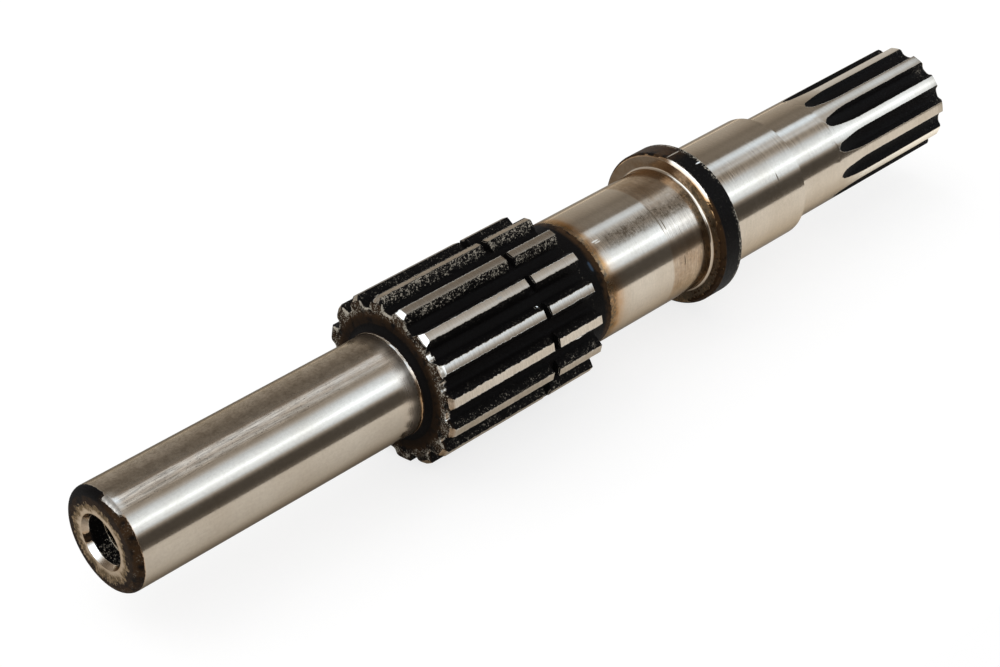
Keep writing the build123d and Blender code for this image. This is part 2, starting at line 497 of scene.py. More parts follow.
class Paint:
    """The layers of the skin, with the place of each of its points.

    A place is the distance from the plain end, the radius, the mm onto a land, and the turn: degrees
    from the line that faces the camera, towards the viewer's lower side.
    """

    def __init__(self):
        self.x, self.radius, self.inside = gathered("x"), gathered("radius"), gathered("inside")
        self.turn = (gathered("angle") - FACING_ANGLE + 180) % 360 - 180
        self.part = np.array([[ring["part"]] * COLUMNS for ring in rings])
        self.layers = {name: np.zeros(self.x.shape) for name in LAYERS}
        for name, parts, value in EVEN_LAYERS:
            self.put(name, parts, value)

    def put(self, name, parts, value, only=True):
        """Sets a layer on some parts, but only where the last value holds."""
        where = np.isin(self.part, parts.split()) & only
        self.layers[name][where] = np.broadcast_to(value, self.x.shape)[where]

    def write(self, mesh):
        for name, layer in self.layers.items():
            values = np.append(layer.ravel(), (layer[0, 0], layer[-1, 0]))
            mesh.attributes.new(name, "FLOAT", "POINT").data.foreach_set("value", values)


def paint_bore(paint):
    """Black, with a lighter ring at the counterbore's floor and painted light on its far wall, and a bright
    mouth with a painted highlight on one side and a painted dark reflection beside it.
    """
    x, radius, turn, put = paint.x, paint.radius, paint.turn, paint.put
    put("scale", "bore", 0.35, only=(x > 6.8) & (x < 7.0) & (radius > 6.9))
    # Painted light on the lit far wall of the bore, as light specks
    put("patches", "bore", 0.06 + 0.2 * between(turn, 95, 200, 20) * between(x, 2, 11, 1.5))
    # A painted dark reflection on one side of the mouth, as browned scale
    painted_dark_reflection = between(turn, -170, -148, 8)
    put("scale", "mouth", 0.75 * painted_dark_reflection)
    put("browning", "mouth", 0.3 + 0.7 * painted_dark_reflection)
    # A painted highlight on one side of the mouth
    put("patches", "mouth", 0.9 - 0.9 * between(turn, -176, 155, 10))


def paint_end_face(paint):
    """A light ring round the bore, with staining and crust outwards, and an uneven border."""
    radius, turn, put = paint.radius, paint.turn, paint.put
    across = radius * np.cos(np.radians(turn))
    up = radius * np.sin(np.radians(turn))
    blots = np.sin(across * 0.8 + 1.3) * np.sin(up * 0.9 + 0.4) + 0.6 * np.sin(across * 1.9 - up * 1.4)
    edge = radius + 0.55 * blots
    put("stain_and_shade", "end", 0.1 + 0.9 * ramp(edge, 10.0, 11.6))
    put("brush", "end", 0.3 + 1.1 * ramp(edge, 10.2, 12.0))
    put("browning", "end", 0.18 + 0.32 * ramp(edge, 10.3, 12.2))
    dark_side = 1.1 * between(turn, -115, 75, 30)
    crusted = 0.34 * ramp(edge, 10.8, 12.0) + 0.35 * ramp(edge + dark_side, 12.9, 15.2)
    put("scale", "end", 0.08 + crusted)


def paint_rim(paint):
    """Black round the plain end, but ground off on the side that faces up, and a little behind it."""
    x, turn, put = paint.x, paint.turn, paint.put
    bare_from = 0.1 + 0.02 * (turn + 40)
    ground_rim = between(turn, -41, -12, 4) * ramp(x, bare_from, bare_from + 0.7)
    put("browning", "rim", ramp(abs(turn + 78), 30, 60) * (1 - ground_rim) + 0.3 * ground_rim)
    put("scale", "rim", 1.0 - 0.68 * ground_rim)
    put("scale", "rim", paint.layers["scale"] - 0.4, only=x > 2.1)
    put("gloss", "rim", -0.3 * ground_rim)
    put("stain_and_shade", "rim", 0.65 * ground_rim)
    put("brush", "rim", 0.9 * ground_rim)
    put("patches", "rim", np.maximum(0.3 * ground_rim, 0.1 * ramp(abs(turn + 65), 15, 60)))
    put("scale", "journal", 0.25 * (1 - ramp(x, 2.8, 4.5)))
    put("patches", "journal", 0.72 * between(turn, -40, -14, 4) * (1 - ramp(x, 3.2, 5.5)))


def paint_front_journal(paint):
    """A band of grinding marks along the top, and dull brown steel before the drum. Painted shade darkens
    the upper back and the lower side next to the shoulder, and a brown tint is painted into the band that
    mirrors the strip lamp. The shoulder's fillet gets a painted highlight ring, tinted copper lower down.
    """
    x, radius, turn, put = paint.x, paint.radius, paint.turn, paint.put
    put("brush", "journal", 0.12 + 1.5 * between(turn, -33, -15, 2) * (1 - 0.6 * ramp(x, 60, 100)))
    # Painted shade on the upper back, and on the lower side next to the shoulder
    lower = ramp(turn, -12, 8)
    shaded_upper_back = ramp(turn, -125, -90) * (1 - ramp(turn, -37, -33))
    put("stain_and_shade", "journal", 0.4 * shaded_upper_back + 0.8 * lower * ramp(x, 108.4, 109))
    put("gloss", "journal", -0.34 * ramp(x, 102.5, 106))
    # Dull brown steel before the drum, and a brown tint painted into the band that mirrors the strip lamp
    put("browning", "journal", 0.12 * ramp(x, 98, 107) + 0.22 * between(turn, -34, -23, 3))
    put("scale", "shoulder", ramp(x, 109.8, 110.5))
    # Painted shade on the lower side of the shoulder, and a painted highlight ring on its fillet, tinted
    # copper towards the lower side
    put("stain_and_shade", "shoulder", 0.3 * lower * (1 - ramp(x, 109.6, 110.1)))
    put("browning", "shoulder", 0.2 + 0.5 * ramp(turn, -10, 25), only=x < 110.3)
    put("patches", "shoulder", 0.95 * between(turn, -78, -4, 6) * between(x, 109.2, 110.0, 0.2))
    put("gloss", "shoulder front", 0.12 - 0.12 * ramp(radius, 21.3, 22.6))


def paint_drum_front(paint):
    """Brown scale on the face, rubbed rims of the gaps, bevels with a white painted highlight towards the
    top, and painted shade on the teeth towards the top-back and the bottom, heaviest on the lower bevels.
    """
    x, radius, turn, inside, put = paint.x, paint.radius, paint.turn, paint.inside, paint.put
    put("patches", "front", (0.32 + 0.08 * ramp(turn, 20, 50)) * ramp(radius, 22.4, 24.4))
    put("browning", "front", 0.35 + 0.55 * ramp(radius, 21.5, 23.5))
    mouth = (x < 112.6) & (inside < -0.1)
    rim_of_gap = 0.6 + 0.7 * (1 - ramp(turn, -36, -22)) + 0.3 * ramp(turn, 35, 50)
    put("patches", "bevel", rim_of_gap, only=mouth)
    put("patches", "front", 0.85 * rim_of_gap, only=mouth)
    # A painted highlight on the bevels of the lands towards the top
    put("patches", "bevel", 1.0, only=(inside > 0) & (turn > -42) & (turn < 0))
    # Painted shade on the teeth and bevels towards the top-back and the bottom, heaviest on the lower
    # bevels
    put("stain_and_shade", "drum bevel", 0.2 - 0.2 * ramp(turn, -30, -20) + 0.2 * ramp(turn, 40, 60))
    put("stain_and_shade", "bevel", 0.6, only=turn > 2)
    put("browning", "bevel", 0.6 * ramp(turn, 20, 40))


def paint_teeth(paint):
    """Ground lands between scaled gaps, whose sides are rubbed on the upper teeth, and a painted highlight
    on the lands in two bands.
    """
    x, radius, turn, inside, put = paint.x, paint.radius, paint.turn, paint.inside, paint.put
    land = np.clip(inside / 0.45, -1.2, 1)
    upper = 0.24 * (1 - ramp(turn, -48, -42)) + 0.07 * (1 - ramp(turn, -28, -22))
    put("scale", "drum bevel", 0.5 - 0.42 * land + upper)
    floor_front = (1 - ramp(x, 113, 117)) * between(radius, 24, 25.9, 0.6) * ramp(turn, -16, -6)
    put("scale", "drum bevel", 1 - 0.68 * floor_front, only=inside < -1)
    rubbed_flank = 0.43 - 0.35 * ramp(turn, -36, -14) - 0.3 * (1 - ramp(turn, -68, -58))
    chipped_flank = 0.1 * ramp(turn, 20, 42)
    put("patches", "drum", ramp(radius, 25.2, 28.2) * (rubbed_flank + chipped_flank))
    # A painted highlight on the lands in two bands about the facing line
    painted_highlight_lands = 0.2 * between(turn, 4, 16, 1) + 0.6 * between(turn, -19, -7, 1)
    put("patches", "drum", painted_highlight_lands, only=inside > 0)


def paint_middle(paint):
    """Scaled next to the drum, browned beyond it, and pitted towards the collar. The scale gets a painted
    blue glint, a dark reflection is painted along a band of the journal, and the pitted steel is painted
    less dark and less brown in the band that mirrors the lamps.
    """
    x, turn, put = paint.x, paint.turn, paint.put
    put("scale", "middle", 1.0 - ramp(x, 188.9, 191.1))
    put("patches", "middle", 0.15 * (1 - ramp(x, 180, 184)))
    # A painted blue glint on the glossy scale behind the drum
    put("gloss", "middle", 1.3 * between(turn, -8, 3, 3) * between(x, 186.2, 187.2, 0.6))
    tinted = 1.0 - ramp(x, 191.4, 195.0) + 0.6 * (1 - ramp(x, 191, 200)) * ramp(turn, -5, 25)
    put("browning", "middle", np.minimum(tinted, 1), only=x > 187.5)
    pitted = ramp(x, 220.8, 221.4)
    # A dark reflection painted along a band of the journal, and the band that mirrors the lamps, where the
    # pitted steel is painted less dark and less brown
    dark_reflection_band = between(turn, -21, -6.5, 3)
    mirrored_lamp_band = between(turn, -24, 14, 6)
    worn_and_dark_reflection = 0.62 * dark_reflection_band * ramp(x, 193, 201) + (0.3 - 0.2 * mirrored_lamp_band) * pitted * (1 - dark_reflection_band)
    burnt = 0.75 * (1 - ramp(x - 1.2 * ramp(turn, -5, 25), 190.2, 193.0))
    put("stain_and_shade", "middle", np.maximum(burnt, worn_and_dark_reflection))
    dulled_and_highlit = (0.38 - 0.28 * mirrored_lamp_band) * pitted
    put("browning", "middle", np.maximum(paint.layers["browning"], dulled_and_highlit))
    put("brush", "middle", 0.15 + 0.75 * np.maximum(0.7 * pitted, between(turn, -24, -8, 3)))


def paint_collar_front(paint):
    """Brown face, crusted on its lower side, and a bevel with a pale painted highlight where it faces up
    and more scale beside it.
    """
    x, radius, turn, put = paint.x, paint.radius, paint.turn, paint.put
    dark_face = 1.1 * ramp(turn, -48, 0) * (1 - 0.7 * ramp(radius, 25.6, 27))
    put("stain_and_shade", "collar_front", 0.25 + dark_face)
    streak = between(turn, -22, 16, 5) * ramp(radius, 25.2, 26.0)
    put("browning", "collar_front", 0.55 + 0.4 * ramp(turn, -24, 5) + 0.6 * streak)
    crust = between(turn, -12, 110, 14) * (0.45 + 0.25 * ramp(radius, 25.8, 26.8) - 0.3 * streak)
    put("scale", "collar_front", crust)
    # A pale painted highlight on the bevel where it faces up, with more scale beside it
    painted_cream_highlight = between(turn, -46, -4, 4)
    put("browning", "collar_bevel", 1.0 - 0.5 * painted_cream_highlight)
    put("stain_and_shade", "collar_bevel", 0.25 - 0.25 * painted_cream_highlight)
    behind_highlight = 0.4 * (1 - ramp(turn, -56, -44))
    beyond_highlight = 0.4 * ramp(turn, -8, 6)
    lower_edge = 0.22 - 0.22 * painted_cream_highlight + 0.5 * ramp(x, 240.7, 241)
    put("scale", "collar_bevel", lower_edge + behind_highlight + beyond_highlight)
    put("patches", "collar_bevel", np.where(x > 240.5, 0.5, 0.1) * painted_cream_highlight)


def paint_collar_rim(paint):
    """Black, brown at the back and chipped along its rear edge."""
    x, turn, put = paint.x, paint.turn, paint.put
    put("scale", "collar", 1.0 - 0.45 * ramp(x, 248, 249))
    put("patches", "collar", 0.04 + 0.56 * ramp(x, 247, 249) * ramp(abs(turn), 4, 16))
    put("browning", "collar", 0.9 * (1 - ramp(turn, -52, -38)))


def paint_rear_and_tail(paint):
    """Ground steel with a painted highlight band along the top, and black slots between bright lands."""
    x, turn, inside, put = paint.x, paint.turn, paint.inside, paint.put
    worn_rings = np.maximum(between(x, 256, 262, 0.7), between(x, 274, 277.5, 0.7))
    stripes = worn_rings * between(turn, -34, -8, 4)
    put("brush", "rear", 0.15 + 0.5 * stripes + 0.45 * between(turn, -33, -10, 3))
    put("brush", "tail", 0.15 + 0.6 * between(turn, -33, -10, 3))
    # A painted highlight band along the top, where the steel mirrors the strip lamp
    painted_highlight_band = between(turn, -32, -18, 3)
    put("patches", "rear", 0.35 * painted_highlight_band)
    put("patches", "tail", 0.5 * painted_highlight_band)
    put("scale", "slots", 0.5 - 0.5 * np.clip(inside / 0.25, -1.2, 1))
    put("stain_and_shade", "slots", 0.3 * ramp(x, 371.8, 372.8))
    put("patches", "slots", 0.12 * ramp(x, 358, 372))
    outer_lands = 0.95 * ramp(abs(turn), 44, 54) * ramp(x, 314, 330)
    put("patches", "slots", outer_lands, only=inside > 0)


def paint_skin(mesh):
    paint = Paint()
    paint_bore(paint)
    paint_end_face(paint)
    paint_rim(paint)
    paint_front_journal(paint)
    paint_drum_front(paint)
    paint_teeth(paint)
    paint_middle(paint)
    paint_collar_front(paint)
    paint_collar_rim(paint)
    paint_rear_and_tail(paint)
    paint.write(mesh)


# Material

class Nodes:
    """Short calls for the nodes of one material or world."""

    def __init__(self, tree):
        self.tree = tree
        tree.nodes.clear()

    def add(self, kind, inputs=(), **settings):
        node = self.tree.nodes.new(kind)
        for name, value in settings.items():
            setattr(node, name, value)
        for name, value in dict(inputs).items():
            self.feed(node.inputs[name], value)
        return node

    def feed(self, socket, value):
        if isinstance(value, bpy.types.NodeSocket):
            self.tree.links.new(value, socket)
        else:
            socket.default_value = value

    def math(self, operation, a, b=0.0, c=0.0, clamp=False):
        node = self.add("ShaderNodeMath", operation=operation, use_clamp=clamp)
        for socket, value in zip(node.inputs, (a, b, c)):
            self.feed(socket, value)
        return node.outputs[0]

    def line(self, value, gain, offset, clamp=False):
        """A value times a gain, plus an offset."""
        return self.math("MULTIPLY_ADD", value, gain, offset, clamp)

    def step(self, value, start, end):
        """0 below start, 1 above end, and smooth between."""
        node = self.add("ShaderNodeMapRange", interpolation_type="SMOOTHSTEP")
        for name, number in (("Value", value), ("From Min", start), ("From Max", end)):
            self.feed(node.inputs[name], number)
        return node.outputs[0]

    def mix(self, share, a, b):
        """Number a, going over to b by the share."""
        node = self.add("ShaderNodeMix", data_type="FLOAT")
        self.feed(node.inputs[0], share)
        self.feed(node.inputs[2], a)
        self.feed(node.inputs[3], b)
        return node.outputs[0]

    def blend(self, share, a, b, kind="MIX"):
        """Colour a, going over to b by the share."""
        node = self.add("ShaderNodeMix", data_type="RGBA", blend_type=kind)
        self.feed(node.inputs[0], share)
        self.feed(node.inputs[6], a)
        self.feed(node.inputs[7], b)
        return node.outputs[2]

    def noise(self, vector, size, detail=2.0, rough=0.5):
        """Noise with blotches about size mm wide, mostly between 0.3 and 0.7."""
        inputs = {"Vector": vector, "Scale": 1 / size, "Detail": detail, "Roughness": rough}
        return self.add("ShaderNodeTexNoise", inputs).outputs["Fac"]

    def vector(self, x, y, z):
        return self.add("ShaderNodeCombineXYZ", {"X": x, "Y": y, "Z": z}).outputs[0]

    def shader(self, share, a, b):
        """Shader a, going over to b by the share."""
        node = self.add("ShaderNodeMixShader")
        for socket, value in zip(node.inputs, (share, a, b)):
            self.feed(socket, value)
        return node.outputs[0]


GROUND_STEEL = (0.53, 0.47, 0.395, 1)
DULL_STEEL = (0.42, 0.355, 0.28, 1)
# Dark steel for staining and for painted shade
STAINED_AND_SHADED_STEEL = (0.12, 0.09, 0.06, 1)
# Brown of heat tint, also used to tint painted reflections
HEATED_STEEL = (0.41, 0.215, 0.08, 1)
# Bright steel of bare patches and of painted highlights
BRIGHT_STEEL = (0.9, 0.87, 0.8, 1)
BLACK_SCALE = (0.0035, 0.003, 0.003, 1)
BROWN_SCALE = (0.042, 0.022, 0.01, 1)
# Colour of a painted glint on the glossy scale behind the drum
PAINTED_GLINT_BLUE = (0.035, 0.055, 0.085, 1)
GREY_SCALE = (0.46, 0.42, 0.35, 1)
EDGE_TINT = (0.75, 0.66, 0.55, 1)
SCALE_SPECULAR = 0.06

# Cover between which ground steel goes over to scale
SCALE_BORDER = (0.44, 0.56)

# Roughness of the freshest ground steel and of the scale
GROUND_ROUGHNESS = 0.07
SCALE_ROUGHNESS = 0.6

# Relief of the grain and the scale, and its depth in mm
GRAIN_RELIEF = 0.05
CRUST_RELIEF = 0.9
BUMP_STRENGTH = 0.5
BUMP_DEPTH = 0.3

# How much slower the noise runs along the streaks than across them
SLOW_ROUND = 0.05
SLOW_ALONG = 0.07

# Small oval marks, as (mm from the plain end, degrees from the facing line, half length in mm, half
# width in degrees)
LIGHT_MARKS = (
    (194.6, -19.7, 1.5, 0.8), (195.2, -17.8, 1.3, 0.7), (157.0, 4.4, 1.1, 1.0), (174.5, 41.5, 2.6, 0.5),
    (172.0, 43.5, 1.8, 0.5), (177.0, 39.0, 1.4, 0.5), (244.5, -48, 3.2, 0.5), (247.6, -30, 1.3, 0.6),
)
DARK_MARKS = (
    (144.7, -12.2, 1.1, 0.9), (147.6, -15.3, 0.8, 0.8), (226.5, 34, 0.3, 5), (221.1, -12, 0.28, 16),
    (278.0, 9, 0.3, 4.5), (222.5, -4, 0.3, 6), (229.0, -14, 0.5, 2.5),
)


def marks(nodes, x, turn, places):
    """1 on each of some small oval marks."""
    found = 0.0
    for middle, angle, half_length, half_width in places:
        along = nodes.line(x, 1 / half_length, -middle / half_length)
        about = nodes.line(turn, 1 / half_width, -angle / half_width)
        away = nodes.math("MULTIPLY_ADD", along, along, nodes.math("MULTIPLY", about, about))
        here = nodes.math("SUBTRACT", 1.0, nodes.step(away, 0.5, 1.3))
        found = nodes.math("MAXIMUM", here, found)
    return found


def shaft_places(nodes):
    """The point in mm from the plain end and the axis, and the turn about the axis."""
    place = nodes.add("ShaderNodeTexCoord").outputs["Object"]
    metres = nodes.add("ShaderNodeSeparateXYZ", {"Vector": place})
    x = nodes.line(metres.outputs["X"], 1 / MM, SHAFT_LENGTH / 2)
    y = nodes.math("MULTIPLY", metres.outputs["Y"], 1 / MM)
    z = nodes.line(metres.outputs["Z"], 1 / MM, -AXIS_HEIGHT)
    angle = nodes.math("DEGREES", nodes.math("ARCTAN2", z, y))
    turn = nodes.math("WRAP", nodes.math("SUBTRACT", angle, FACING_ANGLE), 180, -180)
    return x, y, z, turn


def shaft_noise(nodes, x, y, z):
    """The noises that the looks share, by name."""
    point = nodes.vector(x, y, z)
    # Grinding leaves streaks round the shaft, but along it on the front journal
    slow_y, slow_z = nodes.math("MULTIPLY", y, SLOW_ROUND), nodes.math("MULTIPLY", z, SLOW_ROUND)
    round_streaks = nodes.vector(x, slow_y, slow_z)
    along_streaks = nodes.vector(nodes.math("MULTIPLY", x, SLOW_ALONG), y, z)
    noise = {
        "grit": nodes.noise(point, size=0.45, detail=2, rough=0.7),
        "fine": nodes.noise(point, size=0.9, detail=3),
        "middle": nodes.noise(point, size=3.5, detail=3),
        "broad": nodes.noise(point, size=22, detail=2),
        "streaks": nodes.noise(round_streaks, size=1.6, detail=3, rough=0.6),
        "hair": nodes.noise(round_streaks, size=0.35, detail=2, rough=0.7),
        "along": nodes.noise(along_streaks, size=0.5, detail=4, rough=0.75),
    }
    fine_share = nodes.math("MULTIPLY", noise["fine"], 0.6)
    noise["ragged"] = nodes.math("ADD", fine_share, nodes.math("MULTIPLY", noise["middle"], 0.4))
    return noise


def stain_and_shade_cover(nodes, layers, noise, dark_marks):
    """How far staining, painted shade and dark marks cover the ground steel."""
    mottle = nodes.line(noise["ragged"], 4.0, -1.5, clamp=True)
    cloudy = nodes.line(mottle, 1.1, 0.45)
    stained_and_shaded = nodes.math("MULTIPLY", layers["stain_and_shade"], cloudy, clamp=True)
    return nodes.math("MAXIMUM", stained_and_shaded, nodes.math("MULTIPLY", dark_marks, 0.9))


def grinding_tone(nodes, layers, noise, x):
    """Light and dark hairlines, and pits, where the grinding marks are strong."""
    behind_drum = nodes.step(x, 108, DRUM_START)
    hairlines = nodes.mix(behind_drum, noise["along"], noise["hair"])
    depth = nodes.math("MULTIPLY", layers["brush"], 1.5)
    lines = nodes.math("MULTIPLY", nodes.math("SUBTRACT", hairlines, 0.5), depth)
    tone = nodes.math("ADD", nodes.line(noise["fine"], 0.22, 0.89), lines)
    pit_depth = nodes.math("MULTIPLY", layers["brush"], 0.5)
    pits = nodes.math("MULTIPLY", nodes.step(noise["grit"], 0.60, 0.70), pit_depth)
    return nodes.math("SUBTRACT", tone, pits)


def bared_and_highlit(nodes, layers, noise, light_marks):
    """Lighter steel by the patches, and bright where they are strongest: freshly bare steel, and in places
    a painted highlight.
    """
    bare = nodes.math("ADD", layers["patches"], nodes.line(noise["fine"], 0.8, -0.4))
    bright = nodes.math("MAXIMUM", light_marks, nodes.step(bare, 0.72, 0.9))
    return nodes.math("MAXIMUM", bright, nodes.math("MULTIPLY", layers["patches"], 0.7))


def ground_colour(nodes, layers, noise, stained_and_shaded, tone, bright):
    """Warm steel, dull in places, browned by heat and by painted tints, darkened by staining and painted
    shade, with grinding marks, and lightened by bare steel and painted highlights.
    """
    dull = nodes.line(noise["broad"], 1.6, -0.4, clamp=True)
    ground = nodes.blend(dull, GROUND_STEEL, DULL_STEEL)
    uneven = nodes.line(noise["middle"], 1.4, 0.25)
    # Heat tint, and the painted tints of reflections on the shoulder and the front journal
    browned_and_tinted = nodes.math("MULTIPLY", layers["browning"], uneven, clamp=True)
    ground = nodes.blend(browned_and_tinted, ground, HEATED_STEEL)
    ground = nodes.blend(stained_and_shaded, ground, STAINED_AND_SHADED_STEEL)
    ground = nodes.blend(1.0, ground, tone, "MULTIPLY")
    return nodes.blend(bright, ground, BRIGHT_STEEL)


def scale_colour(nodes, layers, noise):
    """Black or brown, with light speckles where it is rubbed, and a painted blue glint where the gloss is
    high.
    """
    grit_share = nodes.math("MULTIPLY", noise["grit"], 0.45)
    speckle = nodes.math("ADD", grit_share, nodes.math("MULTIPLY", noise["ragged"], 0.55))
    rubbed = nodes.math("ADD", layers["patches"], nodes.line(speckle, 5.5, -3.2))
    some_patches = nodes.step(layers["patches"], 0.0, 0.3)
    rubbed = nodes.math("MULTIPLY", nodes.step(rubbed, 0.0, 0.5), some_patches)
    browned = nodes.math("MULTIPLY", layers["browning"], nodes.step(noise["middle"], 0.3, 0.55))
    dark = nodes.blend(browned, BLACK_SCALE, BROWN_SCALE)
    # A painted blue glint where the gloss is above 0.5
    dark = nodes.blend(nodes.step(layers["gloss"], 0.5, 0.9), dark, PAINTED_GLINT_BLUE)
    return nodes.blend(rubbed, dark, GREY_SCALE)


def roughness(nodes, layers, noise, scaled, stained_and_shaded):
    shine = nodes.line(noise["streaks"], 0.10, GROUND_ROUGHNESS)
    shine = nodes.line(stained_and_shaded, 0.2, shine)
    # A gloss below 0 dulls the ground steel
    shine = nodes.line(nodes.math("MINIMUM", layers["gloss"], 0.0), -0.5, shine)
    return nodes.mix(scaled, shine, nodes.line(layers["gloss"], -0.4, SCALE_ROUGHNESS))


def relief(nodes, noise, scaled, metal):
    """Fine grain on the ground steel and a crust on the scale."""
    grain = nodes.math("MULTIPLY", metal, nodes.math("ADD", noise["streaks"], noise["hair"]))
    crust = nodes.math("MULTIPLY", scaled, nodes.math("ADD", noise["grit"], noise["middle"]))
    height = nodes.line(crust, CRUST_RELIEF, nodes.math("MULTIPLY", grain, GRAIN_RELIEF))
    inputs = {"Height": height, "Strength": BUMP_STRENGTH, "Distance": BUMP_DEPTH * MM}
    return nodes.add("ShaderNodeBump", inputs).outputs[0]


def steel():
    """Ground steel and scale in one material, told apart by the layers of the skin."""
    material = bpy.data.materials.new("ground_and_scaled_steel")
    material.use_nodes = True
    nodes = Nodes(material.node_tree)
    x, y, z, turn = shaft_places(nodes)
    noise = shaft_noise(nodes, x, y, z)
    layers = {}
    for name in LAYERS:
        layers[name] = nodes.add("ShaderNodeAttribute", attribute_name=name).outputs["Fac"]
    light_marks = marks(nodes, x, turn, LIGHT_MARKS)
    dark_marks = marks(nodes, x, turn, DARK_MARKS)

    # Ragged border between ground steel and scale
    cover = nodes.math("ADD", layers["scale"], nodes.line(noise["ragged"], 0.9, -0.45))
    scaled = nodes.math("SUBTRACT", nodes.step(cover, *SCALE_BORDER), light_marks, clamp=True)
    metal = nodes.math("SUBTRACT", 1.0, scaled)

    # Staining, painted shade and the dark marks
    stained_and_shaded = stain_and_shade_cover(nodes, layers, noise, dark_marks)
    tone = grinding_tone(nodes, layers, noise, x)
    # Bare steel, and the painted highlights that the patches carry
    bright = bared_and_highlit(nodes, layers, noise, light_marks)
    ground = ground_colour(nodes, layers, noise, stained_and_shaded, tone, bright)
    shader = nodes.add("ShaderNodeBsdfPrincipled", {
        "Base Color": nodes.blend(scaled, ground, scale_colour(nodes, layers, noise)),
        "Metallic": metal,
        "Roughness": roughness(nodes, layers, noise, scaled, stained_and_shaded),
        "Specular IOR Level": SCALE_SPECULAR,
        "Specular Tint": EDGE_TINT,
        "Normal": relief(nodes, noise, scaled, metal),
    })
    nodes.add("ShaderNodeOutputMaterial", {"Surface": shader.outputs[0]})
    return material


# Studio

# Light that the shaft mirrors, as (angle from straight up towards the front, level): a dim back wall,
# a strip lamp, a wide soft lamp in front and the dark of the room below it
STUDIO_LIGHT = (
    (-90, 0.75), (-70, 0.58), (-58, 0.44), (-46, 0.3), (-34, 0.34), (-19.4, 0.28), (-18.4, 0.95),
    (-10, 1.28), (0, 0.7), (6, 0.83), (14, 0.44), (20, 0.5), (26, 0.82), (32, 1.2), (38, 1.5),
    (45, 1.9), (50, 2.8), (55, 1.85), (62, 1.5), (66, 0.95), (71, 0.3), (76, 0.11), (92, 0.11),
    (100, 0.2),
)
BRIGHTEST = 2.8
WARM_WALL = (1.03, 0.95, 0.86, 1)
COOL_LAMP = (0.9, 1.05, 1.24, 1)
WALL_TO_LAMP = (0.1, 0.45)
PLAIN_LIGHT = 0.75
WHITE = (1, 1, 1, 1)

# One more lamp stands off the plain end, from low in front to behind the top. These are its near edge
# as a share of straight off the end, its back edge in degrees, and its front edge, which slopes.
SIDE_LAMP_NEAR = (0.44, 0.54)
SIDE_LAMP_BACK = (-42, -32)
SIDE_LAMP_FRONT = (-8, 0)
SIDE_LAMP_SLOPE = 100

# A lamp for the soft shadow on the table, with its tilts in degrees
SHADOW_LAMP_POWER = 0.8
SHADOW_LAMP_SPREAD = 60
SHADOW_LAMP_TILTS = (-38, -20)


def mirrored_light(nodes):
    """What the steel mirrors, as a share of the brightest lamp."""
    direction = nodes.add("ShaderNodeTexCoord").outputs["Generated"]
    parts = nodes.add("ShaderNodeSeparateXYZ", {"Vector": direction})
    front = nodes.math("MULTIPLY", parts.outputs["Y"], -1)
    angle = nodes.math("DEGREES", nodes.math("ARCTAN2", front, parts.outputs["Z"]))
    bands = nodes.add("ShaderNodeValToRGB", {"Fac": nodes.line(angle, 1 / 360, 0.5)})
    stops = bands.color_ramp.elements
    while len(stops) < len(STUDIO_LIGHT):
        stops.new(0.5)
    for stop, (turn, level) in zip(stops, STUDIO_LIGHT):
        stop.position = 0.5 + turn / 360
        stop.color = (level / BRIGHTEST, level / BRIGHTEST, level / BRIGHTEST, 1)

    off_end = nodes.step(nodes.math("MULTIPLY", parts.outputs["X"], -1), *SIDE_LAMP_NEAR)
    lit = nodes.math("MULTIPLY", off_end, nodes.step(angle, *SIDE_LAMP_BACK))
    sloped = nodes.line(parts.outputs["X"], SIDE_LAMP_SLOPE, angle)
    behind_front = nodes.math("SUBTRACT", 1.0, nodes.step(sloped, *SIDE_LAMP_FRONT))
    lit = nodes.math("MULTIPLY", lit, behind_front)
    level = nodes.math("MAXIMUM", bands.outputs[0], lit)
    tint = nodes.blend(nodes.step(level, *WALL_TO_LAMP), WARM_WALL, COOL_LAMP)
    return nodes.blend(1.0, level, tint, "MULTIPLY")


def light_studio():
    """White for the camera, lamps and walls for what the steel mirrors, and plain light otherwise."""
    world = bpy.data.worlds.new("studio")
    bpy.context.scene.world = world
    world.use_nodes = True
    nodes = Nodes(world.node_tree)
    mirrored = mirrored_light(nodes)
    path = nodes.add("ShaderNodeLightPath")
    lamps = nodes.add("ShaderNodeBackground", {"Color": mirrored, "Strength": BRIGHTEST})
    plain = nodes.add("ShaderNodeBackground", {"Color": WHITE, "Strength": PLAIN_LIGHT})
    white = nodes.add("ShaderNodeBackground", {"Color": WHITE, "Strength": 1.0})
    lighting = nodes.shader(path.outputs["Is Glossy Ray"], plain.outputs[0], lamps.outputs[0])
    final = nodes.shader(path.outputs["Is Camera Ray"], lighting, white.outputs[0])
    nodes.add("ShaderNodeOutputWorld", {"Surface": final})


def add_shadow_lamp():
    light = bpy.data.lights.new("soft_lamp", "SUN")
    light.energy = SHADOW_LAMP_POWER
    light.angle = radians(SHADOW_LAMP_SPREAD)
    lamp = bpy.data.objects.new("soft_lamp", light)
    forward, sideways = SHADOW_LAMP_TILTS
    lamp.rotation_euler = (radians(forward), radians(sideways), 0)
    lamp.visible_glossy = False
    bpy.context.collection.objects.link(lamp)


# The table ends a little in front of the shaft. Its places are in metres.
TABLE_FRONT = -0.18
TABLE_BACK = 0.5
TABLE_REACH = 1.2

TABLE_PAINT = (0.28, 0.28, 0.28, 1)
TABLE_MIRRORED = (0.70, 0.69, 0.665, 1)

# Glow of the table for the camera and for the steel
GLOW_SEEN = 0.78
GLOW_MIRRORED = 0.32

# The shaft's shadow as the steel mirrors it: its front, back and near edges, and how much it darkens
SHADOW_FRONT = (-0.027, -0.004)
SHADOW_BACK = (0.18, 0.35)
SHADOW_NEAR = (-0.205, -0.185)
SHADOW_DARKENS = -0.66

